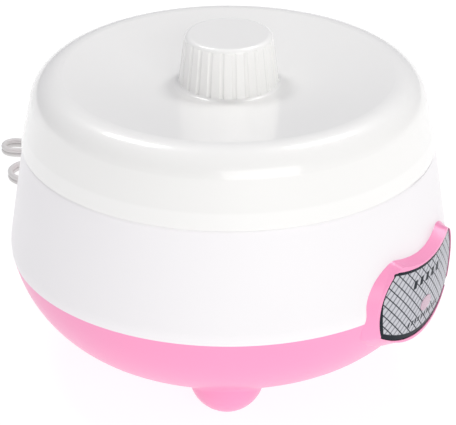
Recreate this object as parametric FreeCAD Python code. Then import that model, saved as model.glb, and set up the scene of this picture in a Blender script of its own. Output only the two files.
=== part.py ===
import FreeCAD, Part
import math
import os

from FreeCAD import Vector

os.makedirs("parts", exist_ok=True)

# Yogurt maker, millimetres, +Z up. The origin is on the table under the middle of the object.
# The label panel faces -Y and the cord leaves towards +Y.

# Driving dimensions
SEAM_Z = 105.0  # land of the white body, where the cover sits
BASE_FLOOR_R = 62.0
BASE_FLOOR_Z = 14.4
BASE_WALL = 2.4
BODY_WALL = 2.2
COVER_WALL = 1.8
FOOT_R = 16.8
FOOT_CIRCLE_R = 60.0
FOOT_ANGLES = (-30.0, 90.0, 210.0)
FOOT_BLEND_R = 3.5
BOSS_ANGLES = (30.0, 150.0, 270.0)
BOSS_CIRCLE_R = 56.0

# Base bowl outline: three tangent arcs, (radius, turn in degrees)
BOWL_ARCS = ((28.5, 40.0), (56.4, 30.0), (80.0, 6.5))
# Body outline
BODY_KNEE = (14.0, 22.2)
BODY_TOP_CORNER_R = 1.3
WELL_TOP_R = 81.0
WELL_DRAFT = 5.0
WELL_FLOOR_Z = 35.0
WELL_CORNER_R = 10.0
SPIGOT_R = 90.7
SPIGOT_TOP_R = 89.0
SPIGOT_TOP_Z = 112.6
SPIGOT_WALL = 1.9
# Cover outline
COVER_R = 93.4
COVER_GAP = 0.4
COVER_SIDE = 21.9
COVER_HEADING = 102.1
SHOULDER = (13.5, 83.6)
DISH_R = 28.5
KNOB_BASE_R = 22.2
KNOB_TOP_R = 19.4
KNOB_TOP_Z = 155.6
KNOB_FLUTES = 24
FLUTE_R = 1.5
FLUTE_DEPTH = 0.75

# Label panel: upright above PANEL_STRAIGHT_Z, curving inwards below it
LABEL_R = 102.1
LABEL_THICK = 0.7
PANEL_STRAIGHT_Z = 61.8
PANEL_CURVE_R = 158.0
LABEL_TOP = (25.0, 74.3)
LABEL_TOP_DIP = 4.1
LABEL_MIDDLE_HALF = 34.0
LABEL_BOTTOM = (31.8, 44.2)
LABEL_BOTTOM_DROP = 9.5
LABEL_CORNER_R = 3.0
PANEL_WALL = 2.2
BEZEL_SECTIONS = (  # y, top corner, top dip, middle half, bottom corner, bottom drop, corner radius
    (-103.4, (24.6, 74.5), 3.8, 33.2, (31.2, 44.0), 10.0, 3.0),
    (-96.5, (27.2, 76.4), 2.0, 35.6, (33.6, 42.4), 10.6, 7.0),
    (-90.5, (30.2, 78.6), 2.0, 39.6, (39.4, 40.8), 11.6, 9.5),
    (-85.0, (31.6, 79.4), 2.0, 42.0, (42.4, 40.2), 12.0, 10.5),
)
BEZEL_CREST = 0.4
LENS_Z = 48.6
LENS_HALF = (4.8, 3.5)
LAMP_R = 2.9
LAMP_LENGTH = 7.0
LAMP_Y = -86.5
RESISTOR_Z = 36.0

# Inner vessel
VESSEL_FLOOR_Z = 36.2
VESSEL_R = 61.0
VESSEL_CORNER_R = 14.0
VESSEL_RIM_Z = 106.9
VESSEL_WALL = 0.7
FLANGE_BEND_R = 2.4
VESSEL_DRAFT = 3.0

LID_R = 84.4
LID_WALL = 1.4
SEAL_THICK = 0.9
LID_RIM_Z = VESSEL_RIM_Z + VESSEL_WALL + 0.3 + SEAL_THICK + LID_WALL

# Heating parts
PLATE_TOP_Z = 35.6
PLATE_R = 43.6
PLATE_FLANGE_R = 50.0
PLATE_FLANGE_Z = 30.6
PLATE_FLANGE_THICK = 1.6

# Cord outlet and clamp
OUTLET_Y = 82.0
OUTLET_BOSS_R = 9.5
NECK_R = 5.2
NECK_LENGTH = 10.4
CLAMP_X = 9.5
CLAMP_Y = 62.0
CLAMP_POST_Z = 23.8
CLAMP_TOP_Z = 31.2

# Cord: flat twin lead, 5.2 mm wide, drawn here as a round tube of that diameter
CORD_D = 5.2
CORD_EXIT = (0.0, 103.5, 27.0)
CORD_ROUTE = (
    (0.0, 103.5, 27.0),
    (0.0, 111.5, 27.0),
    (3.2, 120.5, 24.6),
    (10.5, 128.0, 18.5),
    (22.0, 133.6, 10.4),
    (36.5, 138.4, 4.6),
    (52.5, 142.6, 2.7),
    (70.0, 145.8, 2.7),
    (88.0, 147.4, 2.7),
    (106.5, 147.5, 2.7),
)
# Hank: loops folded either side of a tie, on a line that leans 59 degrees from -X
HANK_MIDDLE = (130.8, 147.8)
HANK_LEAN = -59.2
HANK_HEIGHT = 5.4
TIE_HALF_WIDTH = 8.6
TIE_HALF_LENGTH = 3.2
LOOP_SIZES = (  # (along, across, outer radius) of each loop's round end, from the tie
    (-57.4, 16.8, 8.1),
    (-46.6, -15.2, 12.6),
    (52.0, 9.5, 9.6),
    (52.0, -14.5, 11.0),
)
PLUG_START = (48.0, 27.0)
PLUG_END = (82.0, 31.0)
PLUG_PIN_LENGTH = 19.0
PLUG_PIN_R = 2.0
PLUG_PIN_GAP = 17.8

Z_AXIS = Vector(0, 0, 1)


def save(name, shape):
    """Write one named piece and report its volume."""
    solids = shape.Solids
    whole = solids[0] if len(solids) == 1 else Part.Compound(solids)
    if not whole.isValid():
        print("NOT VALID", name)
    whole.exportStep(f"parts/{name}.step")
    print(f"{name:18s} solids {len(solids)}  volume {whole.Volume / 1000:9.3f} cm3")
    return whole


def polar(radius, degrees, z=0.0):
    angle = math.radians(degrees)
    return Vector(radius * math.cos(angle), radius * math.sin(angle), z)


def direction(heading):
    angle = math.radians(heading)
    return Vector(math.cos(angle), 0, math.sin(angle))


def walk(start, heading, steps, offset=0.0):
    """Edges of a smooth outline in the XZ plane, moved to its left by offset.

    A step is ("line", length) or ("turn", radius, degrees), left turns positive. A left turn
    tighter than the offset becomes a sharp corner.
    """
    place = Vector(start[0], 0, start[1])
    marks = []
    for step in steps:
        left = direction(heading + 90)
        if step[0] == "line":
            end = place + direction(heading) * step[1]
            marks.append(["line", place + left * offset, end + left * offset])
        else:
            radius, turn = step[1], step[2]
            side = 1 if turn > 0 else -1
            centre = place + left * radius * side
            half = centre - direction(heading + turn / 2 + 90) * radius * side
            end = centre - direction(heading + turn + 90) * radius * side
            inner = radius - offset * side
            if inner > 0.05:
                points = [centre + (p - centre) * (inner / radius) for p in (place, half, end)]
                marks.append(["arc", *points])
            else:
                out = (half - centre) * (1 / radius)
                corner = centre + out * (inner / math.cos(math.radians(turn) / 2))
                marks.append(["corner", corner, corner])
            heading += turn
        place = end
    for i, mark in enumerate(marks):
        if mark[0] == "corner":
            if i > 0:
                marks[i - 1][-1] = mark[1]
            if i + 1 < len(marks):
                marks[i + 1][1] = mark[1]
    edges = []
    for mark in marks:
        if mark[0] == "line":
            edges.append(Part.LineSegment(mark[1], mark[2]).toShape())
        elif mark[0] == "arc":
            edges.append(Part.Arc(mark[1], mark[2], mark[3]).toShape())
    return edges


def ends(edges):
    first = edges[0].Vertexes[0].Point
    last = edges[-1].Vertexes[-1].Point
    return first, last


def turned(edges):
    """Solid of revolution about Z of the closed outline that the edges make."""
    wire = Part.Wire(edges)
    return Part.Face(wire).revolve(Vector(0, 0, 0), Z_AXIS, 360)


def line(a, b):
    return Part.LineSegment(a, b).toShape()


def sheet_turned(start, heading, steps, wall):
    """Turned shell whose outside is the outline and whose wall lies to its left."""
    outer = walk(start, heading, steps)
    inner = walk(start, heading, steps, wall)
    a, b = ends(outer)
    c, d = ends(inner)
    closing = [line(b, d)] if (b - d).Length > 1e-6 else []
    opening = [line(c, a)] if (a - c).Length > 1e-6 else []
    return turned(outer + closing + inner[::-1] + opening)


def filled_turned(start, heading, steps, offset, top_z):
    """Turned solid inside an outline that starts on the axis, closed flat at its end."""
    edges = walk(start, heading, steps, offset)
    a, b = ends(edges)
    up = Vector(b.x, 0, top_z)
    axis_top = Vector(0, 0, top_z)
    side = [line(b, up)] if (up - b).Length > 1e-6 else []
    return turned(edges + side + [line(up, axis_top), line(axis_top, a)])


def ring(outer, inner, bottom, height, centre=(0, 0)):
    solid = Part.makeCylinder(outer, height, Vector(*centre, bottom))
    if inner > 0:
        solid = solid.cut(Part.makeCylinder(inner, height, Vector(*centre, bottom)))
    return solid


def tube(points, diameter, report=False):
    """Round tube along straight runs joined by tangent arcs."""
    pts = [Vector(*p) for p in points]
    edges, place = [], pts[0]
    for i in range(1, len(pts) - 1):
        before, after = pts[i] - pts[i - 1], pts[i + 1] - pts[i]
        turn = before.getAngle(after)
        cut = 0.45 * min(before.Length, after.Length)
        a = pts[i] - before.normalize() * cut
        b = pts[i] + after.normalize() * cut
        radius = cut / math.tan(turn / 2)
        towards = (a + b) * 0.5 - pts[i]
        far = math.hypot(radius, cut) - radius
        middle = pts[i] + towards.normalize() * far
        edges += [line(place, a), Part.Arc(a, middle, b).toShape()]
        if report:
            print(f"  bend {i}: turn {math.degrees(turn):5.1f} deg, radius {radius:5.1f} mm")
        place = b
    edges.append(line(place, pts[-1]))
    path = Part.Wire(edges)
    start = (pts[1] - pts[0]).normalize()
    section = Part.Wire([Part.makeCircle(diameter / 2, pts[0], start)])
    solid = path.makePipeShell([section], True, False)
    if report:
        area = math.pi * diameter**2 / 4
        print(f"  path {path.Length:.1f} mm, volume / (section x length) = "
              f"{solid.Volume / area / path.Length:.3f}")
    return solid


# ---------------------------------------------------------------- outlines

BOWL_STEPS = [("line", BASE_FLOOR_R)] + [("turn", r, t) for r, t in BOWL_ARCS]


def outline_end(start, heading, steps):
    edges = walk(start, heading, steps)
    return ends(edges)[1], heading + sum(s[2] for s in steps if s[0] == "turn")


RIM, RIM_HEADING = outline_end((0, BASE_FLOOR_Z), 0, BOWL_STEPS)
KNEE_END, BODY_HEADING = outline_end((RIM.x, RIM.z), RIM_HEADING, [("turn", *BODY_KNEE)])


def body_steps():
    """White body: up the side, over the land, down the well and in along its floor."""
    r = BODY_TOP_CORNER_R
    rise = SEAM_Z - r * (1 + math.cos(math.radians(BODY_HEADING))) - KNEE_END.z
    side = rise / math.sin(math.radians(BODY_HEADING))
    corner_x = KNEE_END.x + side * math.cos(math.radians(BODY_HEADING))
    land_start = corner_x - r * math.sin(math.radians(BODY_HEADING))
    down_turn = 90.0 - WELL_DRAFT
    land = land_start - WELL_TOP_R - BODY_WALL
    fall_turn = WELL_CORNER_R * (1 - math.sin(math.radians(WELL_DRAFT)))
    lip_fall = (BODY_WALL + 0.4) * (1 - math.cos(math.radians(down_turn)))
    fall = SEAM_Z - WELL_FLOOR_Z - lip_fall - fall_turn
    return [
        ("turn", *BODY_KNEE),
        ("line", side),
        ("turn", r, 180.0 - BODY_HEADING),
        ("line", land),
        ("turn", BODY_WALL + 0.4, down_turn),
        ("line", fall / math.cos(math.radians(WELL_DRAFT))),
        ("turn", WELL_CORNER_R, -down_turn),
        ("line", 21.0),
    ]


def label_face(grow=0.0, y=0.0):
    """Label outline in an XZ plane: dipped top, bulged sides, dropped bottom."""
    tx, tz = LABEL_TOP[0] + grow, LABEL_TOP[1] + grow
    bx, bz = LABEL_BOTTOM[0] + grow, LABEL_BOTTOM[1] - grow * 0.6
    mx, mz = LABEL_MIDDLE_HALF + grow, (tz + bz) / 2
    top_z = tz - LABEL_TOP_DIP
    low_z = bz - LABEL_BOTTOM_DROP - grow * 0.4
    corners = [(-tx, tz), (0, top_z), (tx, tz), (mx, mz), (bx, bz), (0, low_z), (-bx, bz), (-mx, mz)]
    pts = [Vector(x, y, z) for x, z in corners]
    arcs = [Part.Arc(pts[i], pts[i + 1], pts[(i + 2) % 8]).toShape() for i in (0, 2, 4, 6)]
    return Part.Face(Part.Wire(arcs))


def panel_core(depth=0.0):
    """Turned solid whose side is the label's surface, moved in by depth."""
    radius = PANEL_CURVE_R - depth
    centre = Vector(LABEL_R - PANEL_CURVE_R, 0, PANEL_STRAIGHT_Z)
    side = [centre + direction(a) * radius for a in (0, -8, -16)]
    top = Vector(side[0].x, 0, 100)
    low, high = Vector(0, 0, side[2].z), Vector(0, 0, 100)
    arc = Part.Arc(side[2], side[1], side[0]).toShape()
    return turned([line(low, side[2]), arc, line(side[0], top), line(top, high), line(high, low)])


def label_prism(grow, y_from, y_to, corner=0.0):
    solid = label_face(grow, y_from).extrude(Vector(0, y_to - y_from, 0))
    if corner > 0:
        upright = [e for e in solid.Edges if len(e.Vertexes) == 2 and
                   abs(e.tangentAt(e.FirstParameter).y) > 0.99]
        solid = solid.makeFillet(corner, upright)
    return solid


# ---------------------------------------------------------------- housing


def foot(radius):
    """Ball foot hanging from the bowl floor, with a small flat to stand on."""
    centre_z = FOOT_R - 0.4
    ball = Part.makeSphere(radius, Vector(0, 0, centre_z))
    if radius == FOOT_R:
        ball = ball.cut(Part.makeBox(40, 40, 20, Vector(-20, -20, -20)))
    return ball


def base_shell():
    """Pink bowl with three hollow ball feet, screw bosses, cord outlet and label bezel."""
    outer = filled_turned((0, BASE_FLOOR_Z), 0, BOWL_STEPS, 0, RIM.z)
    inner = filled_turned((0, BASE_FLOOR_Z), 0, BOWL_STEPS, BASE_WALL, RIM.z)
    for angle in FOOT_ANGLES:
        spot = polar(FOOT_CIRCLE_R, angle)
        ball = foot(FOOT_R)
        ball.translate(spot)
        keep = Part.makeCylinder(FOOT_R + 1, 22, spot)
        outer = outer.fuse(ball.common(keep))
        hollow = foot(FOOT_R - BASE_WALL)
        hollow.translate(spot)
        inner = inner.fuse(hollow.common(keep))
    outer = outer.removeSplitter()
    outer = outer.makeFillet(FOOT_BLEND_R, [e for e in outer.Edges if is_foot_joint(e)])
    shell = outer.cut(inner)
    shell = shell.fuse(panel_boss()).removeSplitter()
    shell = shell.cut(panel_cavity())
    label_seat = label_prism(0.15, -LABEL_R - 8, -80, LABEL_CORNER_R)
    shell = shell.cut(label_seat.cut(panel_core(LABEL_THICK)))
    shell = shell.cut(window_prism(0.1))
    for angle in BOSS_ANGLES:
        spot = polar(BOSS_CIRCLE_R, angle)
        shell = shell.fuse(ring(4.6, 0, BASE_FLOOR_Z + BASE_WALL - 0.1, 2.1, (spot.x, spot.y)))
        shell = shell.cut(ring(1.7, 0, 0, 30, (spot.x, spot.y)))
        shell = shell.cut(ring(3.3, 0, 0, BASE_FLOOR_Z + 2.0, (spot.x, spot.y)))
    shell = shell.fuse(outlet_cylinder(OUTLET_BOSS_R, OUTLET_Y - 6, OUTLET_Y + NECK_LENGTH))
    shell = shell.cut(outlet_cylinder(OUTLET_BOSS_R - 2.3, OUTLET_Y - 14, OUTLET_Y))
    shell = shell.cut(outlet_cylinder(NECK_R + 0.1, OUTLET_Y - 1, OUTLET_Y + NECK_LENGTH + 1))
    for side in (-1, 1):
        post = ring(3.2, 0, 0, CLAMP_POST_Z, (side * CLAMP_X, CLAMP_Y)).common(outer)
        shell = shell.fuse(post)
        shell = shell.cut(ring(1.2, 0, CLAMP_POST_Z - 8, 9, (side * CLAMP_X, CLAMP_Y)))
    return shell.removeSplitter()


def is_foot_joint(edge):
    box = edge.BoundBox
    low = box.ZMin > BASE_FLOOR_Z - 1 and box.ZMax < BASE_FLOOR_Z + 12
    wide = max(box.XLength, box.YLength) < 2 * FOOT_R + 2
    seam = edge.Curve.TypeId == "Part::GeomLine"
    return low and wide and not seam and edge.Length > 6


def arc_frame(a, b, c):
    """Centre of the arc through three points, and 1 or -1 as its outward side faces from it."""
    circle = Part.Arc(a, b, c).toShape().Curve
    centre = circle.Center
    inward = Vector(0, a.y, 58) - b
    return centre, 1 if (b - centre).dot(inward) < 0 else -1


def rounded_outline(y, top, dip, middle, bottom, drop, radius):
    """Closed outline of four bowed sides in an XZ plane, its corners rounded."""
    tx, tz = top[0] - radius, top[1] - radius
    bx, bz = bottom[0] - radius, bottom[1] + radius
    mx = middle - radius
    marks = [(-tx, tz), (0, top[1] - dip - radius), (tx, tz), (mx, (top[1] + bottom[1]) / 2),
             (bx, bz), (0, bottom[1] - drop + radius), (-bx, bz), (-mx, (top[1] + bottom[1]) / 2)]
    pts = [Vector(x, y, z) for x, z in marks]
    sides = []
    for i in (0, 2, 4, 6):
        a, b, c = pts[i], pts[i + 1], pts[(i + 2) % 8]
        centre, side = arc_frame(a, b, c)
        sides.append([p + ((p - centre) * side).normalize() * radius for p in (a, b, c)])
    edges = []
    for i in range(4):
        corner = pts[(2 * i + 2) % 8]
        start, end = sides[i][2], sides[(i + 1) % 4][0]
        out = ((start - corner) + (end - corner)).normalize() * radius
        edges += [Part.Arc(*sides[i]).toShape(), Part.Arc(start, corner + out, end).toShape()]
    return Part.Wire(edges)


def panel_boss():
    """Tongue of the base that rises in front of the white body and carries the label."""
    block = Part.makeLoft([rounded_outline(*section) for section in BEZEL_SECTIONS], True, True)
    return block.common(panel_core(-BEZEL_CREST)).cut(outside_fill())


def outside_fill():
    """Everything inside the outer surface of base and body, up to the seam."""
    steps = BOWL_STEPS + body_steps()[:2]
    return filled_turned((0, BASE_FLOOR_Z), 0, steps, 0, SEAM_Z)


def panel_cavity():
    """Hollow behind the label, open to the inside of the housing."""
    room = label_prism(-4.5, -LABEL_R - 5, -84)
    return room.common(panel_core(LABEL_THICK + PANEL_WALL))


def window_prism(grow):
    """Oval prism along Y through the panel."""
    wide, tall = LENS_HALF[0] + grow, LENS_HALF[1] + grow
    oval = Part.Ellipse(Vector(wide, -110, LENS_Z), Vector(0, -110, LENS_Z + tall), Vector(0, -110, LENS_Z))
    return Part.Face(Part.Wire([oval.toShape()])).extrude(Vector(0, 30, 0))


def outlet_cylinder(radius, y_from, y_to):
    """Cylinder on the line that the cord leaves by."""
    return Part.makeCylinder(radius, y_to - y_from, Vector(0, y_from, CORD_EXIT[2]), Vector(0, 1, 0))


def body_shell():
    """White double wall: outer side, land, spigot for the cover, and the well."""
    start = (RIM.x, RIM.z)
    shell = sheet_turned(start, RIM_HEADING, body_steps(), BODY_WALL)
    a = Vector(SPIGOT_R, 0, SEAM_Z - 0.4)
    b = Vector(SPIGOT_TOP_R, 0, SPIGOT_TOP_Z)
    c = Vector(SPIGOT_TOP_R - SPIGOT_WALL, 0, SPIGOT_TOP_Z)
    d = Vector(SPIGOT_R - SPIGOT_WALL, 0, SEAM_Z - 0.4)
    spigot = turned([line(a, b), line(b, c), line(c, d), line(d, a)])
    shell = shell.fuse(spigot)
    shell = shell.cut(ring(44.0, 0, 20, 20))
    for angle in BOSS_ANGLES:
        spot = polar(BOSS_CIRCLE_R, angle)
        floor_z = BASE_FLOOR_Z + BASE_WALL + 2.0
        post = ring(3.8, 0, floor_z, WELL_FLOOR_Z - 1 - floor_z, (spot.x, spot.y))
        shell = shell.fuse(post)
        shell = shell.cut(ring(1.3, 0, floor_z - 1, 11, (spot.x, spot.y)))
    for angle in (90.0, 210.0, 330.0):
        spot = polar(47.2, angle)
        shell = shell.cut(ring(1.15, 0, 20, WELL_FLOOR_Z - 20.5, (spot.x, spot.y)))
    shell = shell.cut(panel_cavity())
    return shell.removeSplitter()


def label_plate():
    plate = label_prism(0, -LABEL_R - 8, -80, LABEL_CORNER_R)
    skin = panel_core().cut(panel_core(LABEL_THICK))
    return plate.common(skin).cut(window_prism(0.1))


def indicator_lens():
    """Clear oval window with a flange behind the panel wall."""
    back = LABEL_THICK + PANEL_WALL
    window = window_prism(0).common(panel_core(-0.2).cut(panel_core(back + 1.4)))
    flange = window_prism(1.8).common(panel_core(back).cut(panel_core(back + 1.4)))
    return window.fuse(flange).removeSplitter()


# ---------------------------------------------------------------- heater


def heating_plate():
    """Aluminium disc: raised top through the well floor and a flange under it."""
    top = ring(PLATE_R, 0, PLATE_FLANGE_Z, PLATE_TOP_Z - PLATE_FLANGE_Z)
    flange = ring(PLATE_FLANGE_R, 0, PLATE_FLANGE_Z, PLATE_FLANGE_THICK)
    plate = top.fuse(flange).removeSplitter()
    plate = plate.makeFillet(0.6, [e for e in plate.Edges if abs(e.BoundBox.ZMin - PLATE_TOP_Z) < 1e-6
                                   and e.Length > 10])
    for angle in (90.0, 210.0, 330.0):
        spot = polar(47.2, angle)
        plate = plate.cut(ring(1.5, 0, 20, 20, (spot.x, spot.y)))
    for side in (-1, 1):
        plate = plate.cut(ring(1.3, 0, PLATE_FLANGE_Z - 1, 4.6, (side * 20, 0)))
    return plate


def plate_seal():
    low = PLATE_FLANGE_Z + PLATE_FLANGE_THICK
    seal = ring(49.6, 44.2, low, WELL_FLOOR_Z - BODY_WALL - low)
    for angle in (90.0, 210.0, 330.0):
        spot = polar(47.2, angle)
        seal = seal.cut(ring(1.5, 0, 20, 20, (spot.x, spot.y)))
    return seal


def screw(head_r, head_h, shank_r, length, spot, head_z):
    """Pan head below head_z and a shank with a blunt point above it."""
    head = ring(head_r, 0, head_z - head_h, head_h, (spot.x, spot.y))
    head = head.makeFillet(head_h * 0.6, [e for e in head.Edges
                                          if abs(e.BoundBox.ZMax - (head_z - head_h)) < 1e-6])
    slot = Part.makeBox(head_r * 1.3, 0.6, 0.7, Vector(spot.x - head_r * 0.65, spot.y - 0.3, head_z - head_h))
    cross = slot.copy()
    cross.rotate(spot, Z_AXIS, 90)
    shank = Part.makeCylinder(shank_r, length - 1, Vector(spot.x, spot.y, head_z))
    point = Part.makeCone(shank_r, shank_r * 0.4, 1, Vector(spot.x, spot.y, head_z + length - 1))
    return head.cut(slot).cut(cross).fuse(shank).fuse(point).removeSplitter()


def ptc_heater():
    """Square ceramic heater in its film sleeve, flat under the plate."""
    block = Part.makeBox(26, 18, 2.8, Vector(-13, -9, PLATE_FLANGE_Z - 2.8))
    return block.makeFillet(0.8, [e for e in block.Edges if abs(e.tangentAt(0).z) > 0.99])


def heater_insulator():
    return Part.makeBox(29, 20, 0.5, Vector(-14.5, -10, PLATE_FLANGE_Z - 3.3))


def heater_clamp():
    """Sprung steel strap that presses the heater on the plate."""
    z = PLATE_FLANGE_Z
    outline = [(-25, z), (-15.6, z), (-15.6, z - 3.3), (15.6, z - 3.3), (15.6, z), (25, z),
               (25, z - 0.8), (16.4, z - 0.8), (16.4, z - 4.1), (-16.4, z - 4.1),
               (-16.4, z - 0.8), (-25, z - 0.8), (-25, z)]
    face = Part.Face(Part.makePolygon([Vector(x, -6, y) for x, y in outline]))
    strap = face.extrude(Vector(0, 12, 0))
    for side in (-1, 1):
        strap = strap.cut(ring(1.6, 0, z - 6, 10, (side * 20, 0)))
    return strap


def clamp_screws():
    return [screw(2.5, 1.5, 1.25, 4.0, Vector(side * 20, 0, 0), PLATE_FLANGE_Z - 0.8)
            for side in (-1, 1)]


def plate_screws():
    return [screw(2.4, 1.5, 1.1, 3.6, polar(47.2, a), PLATE_FLANGE_Z) for a in (90.0, 210.0, 330.0)]


def base_screws():
    return [screw(3.0, 1.9, 1.25, 12.0, polar(BOSS_CIRCLE_R, a), BASE_FLOOR_Z + 2.0)
            for a in BOSS_ANGLES]


def thermal_fuse():
    """Thermal cut-off can with its two leads' roots, lying under the plate."""
    z = PLATE_FLANGE_Z - 2.1
    can = Part.makeCylinder(2.0, 11, Vector(-5.5, 17, z), Vector(1, 0, 0))
    nose = Part.makeCone(2.0, 0.8, 2.2, Vector(5.5, 17, z), Vector(1, 0, 0))
    pins = [Part.makeCylinder(0.5, 4, Vector(x, 17, z), Vector(1, 0, 0)) for x in (-9.5, 7.4)]
    return can.fuse(nose).fuse(pins[0]).fuse(pins[1]).removeSplitter()


def fuse_saddle():
    """Small bent tab that holds the thermal fuse to the plate."""
    z = PLATE_FLANGE_Z - 2.1
    sleeve = Part.makeCylinder(2.6, 5, Vector(-2.5, 17, z), Vector(1, 0, 0))
    sleeve = sleeve.cut(Part.makeCylinder(2.05, 5, Vector(-2.5, 17, z), Vector(1, 0, 0)))
    roof = Part.makeBox(6, 8, 3, Vector(-3, 13, PLATE_FLANGE_Z))
    return sleeve.cut(roof)


def indicator_lamp():
    """Neon bulb behind the window, pointing at it."""
    glass = Part.makeCylinder(LAMP_R, LAMP_LENGTH, Vector(0, LAMP_Y, LENS_Z), Vector(0, -1, 0))
    tip = Part.makeSphere(LAMP_R, Vector(0, LAMP_Y - LAMP_LENGTH, LENS_Z))
    return glass.fuse(tip).removeSplitter()


def lamp_holder():
    """Collar with a stalk that stands on the base floor wall and grips the bulb."""
    collar = Part.makeCylinder(LAMP_R + 1.5, 5, Vector(0, LAMP_Y - 0.5, LENS_Z), Vector(0, -1, 0))
    collar = collar.cut(Part.makeCylinder(LAMP_R + 0.05, 8, Vector(0, LAMP_Y, LENS_Z), Vector(0, -1, 0)))
    stalk = Part.makeBox(4, 4, LENS_Z - LAMP_R - 0.8 - 24.0, Vector(-2, LAMP_Y - 5, 24.0))
    return collar.fuse(stalk).removeSplitter().cut(base_outside_inner())


def base_outside_inner():
    """Material outside the inner face of the bowl wall, to trim parts that stand on it."""
    inner = filled_turned((0, BASE_FLOOR_Z), 0, BOWL_STEPS, BASE_WALL, RIM.z)
    block = Part.makeCylinder(110, RIM.z)
    return block.cut(inner).cut(panel_cavity())


def lamp_resistor():
    """Series resistor in one lamp lead, standing beside the lamp holder."""
    spot = (4.2, -84.0)
    body = ring(1.3, 0, RESISTOR_Z, 6.5, spot)
    low = ring(1.5, 0, RESISTOR_Z, 1.6, spot)
    high = ring(1.5, 0, RESISTOR_Z + 4.9, 1.6, spot)
    return body.fuse([low, high]).removeSplitter()


# ---------------------------------------------------------------- wiring


def live_wires():
    """Live side: cap to fuse, fuse to heater."""
    first = tube([(-10, 43, 22.6), (-12, 33, 22.6), (-14, 24, 25.0), (-13.5, 17.0, 28.5),
                  (-9.5, 17, 28.5)], 1.7)
    second = tube([(11.4, 17, 28.5), (15, 14.6, 28.2), (16.2, 11.6, 26.0), (13.6, 10.4, 24.6)], 1.5)
    return [first, second]


def neutral_wire():
    return tube([(10, 43, 22.6), (20, 36, 22.6), (28, 22, 23.4), (30, 6, 24.0), (26, -9, 24.6),
                 (14, -13, 25.4)], 1.7)


def wire_caps():
    """Closed-end crimp caps where the cord's cores meet the inner leads."""
    caps = []
    for side in (-1, 1):
        cap = Part.makeCylinder(2.6, 9, Vector(side * 10, 52, 22.6), Vector(0, -1, 0))
        cap = cap.makeFillet(1.0, [e for e in cap.Edges if e.Length > 10])
        caps.append(cap)
    return caps


def lamp_wires():
    """Thin pair from the caps, round outside the heater, to the lamp."""
    wires = []
    for side in (-1, 1):
        route = [(side * 12.8, 48.0, 22.0), (side * 30, 55.0, 21.5), (side * 52, 42.0, 22.0),
                 (side * 66, 14.0, 22.5), (side * 64, -20.0, 23.5), (side * 47, -50.0, 24.0),
                 (side * 25, -71.0, 27.0)]
        if side > 0:
            route += [(9.0, -81.0, 30.5), (4.2, -84.0, 34.0), (4.2, -84.0, RESISTOR_Z)]
        else:
            route += [(-9.0, -82.5, 36.0), (-1.9, -84.6, 43.5), (-1.3, LAMP_Y, LENS_Z)]
        wires.append(tube(route, 1.3))
    top = RESISTOR_Z + 6.5
    wires.append(tube([(4.2, -84.0, top), (4.2, -84.0, top + 2), (1.9, -84.6, 47.5),
                       (1.3, LAMP_Y, LENS_Z)], 1.3))
    return wires


def cord_tail():
    """End of the cord inside the housing, from the strain relief's tip to its split."""
    z = CORD_EXIT[2]
    run = outlet_cylinder(CORD_D / 2, 56.0, CORD_EXIT[1])
    cores = [tube([(side * 1.3, 56.0, z), (side * 4.0, 54.5, z - 2), (side * 8.5, 53.6, 23.0),
                   (side * 10, 52.0, 22.6)], 1.7) for side in (-1, 1)]
    return run.fuse(cores[0]).fuse(cores[1]).removeSplitter()


def cord_clamp():
    """Bar across the cord, screwed on two posts."""
    z = CORD_EXIT[2]
    bar = Part.makeBox(25, 6, CLAMP_TOP_Z - z - 0.5, Vector(-12.5, CLAMP_Y - 3, z + 0.5))
    for side in (-1, 1):
        bar = bar.fuse(ring(3.0, 0, CLAMP_POST_Z, z + 1 - CLAMP_POST_Z, (side * CLAMP_X, CLAMP_Y)))
    bar = bar.cut(outlet_cylinder(CORD_D / 2, CLAMP_Y - 4, CLAMP_Y + 4))
    for side in (-1, 1):
        bar = bar.cut(ring(1.5, 0, 10, 40, (side * CLAMP_X, CLAMP_Y)))
    return bar.removeSplitter()


def cord_clamp_screws():
    screws = []
    for side in (-1, 1):
        one = screw(2.7, 1.4, 1.15, 13.0, Vector(0, 0, 0), 0)
        one.rotate(Vector(0, 0, 0), Vector(1, 0, 0), 180)
        one.translate(Vector(side * CLAMP_X, CLAMP_Y, CLAMP_TOP_Z))
        screws.append(one)
    return screws


def strain_relief():
    """Rubber sleeve: neck in the wall, collars each side of it and a ribbed tapered tail."""
    tip_y = CORD_EXIT[1]
    neck_end = OUTLET_Y + NECK_LENGTH
    tail_start = neck_end + 2.6
    neck = outlet_cylinder(NECK_R, OUTLET_Y - 1, tail_start)
    inner_collar = outlet_cylinder(NECK_R + 1.5, OUTLET_Y - 2.4, OUTLET_Y)
    outer_collar = outlet_cylinder(NECK_R + 2.0, neck_end, tail_start)
    axis = Vector(0, 1, 0)
    tail = Part.makeCone(NECK_R, 3.7, tip_y - tail_start, Vector(0, tail_start, CORD_EXIT[2]), axis)
    for i in range(3):
        groove_y = tail_start + 1.4 + i * 2.5
        groove = outlet_cylinder(8, groove_y, groove_y + 1.0)
        tail = tail.cut(groove.cut(outlet_cylinder(3.5, groove_y, groove_y + 1.0)))
    sleeve = neck.fuse([inner_collar, outer_collar, tail])
    return sleeve.cut(outlet_cylinder(CORD_D / 2, 60, tip_y + 1)).removeSplitter()


# ---------------------------------------------------------------- moving pieces


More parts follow.
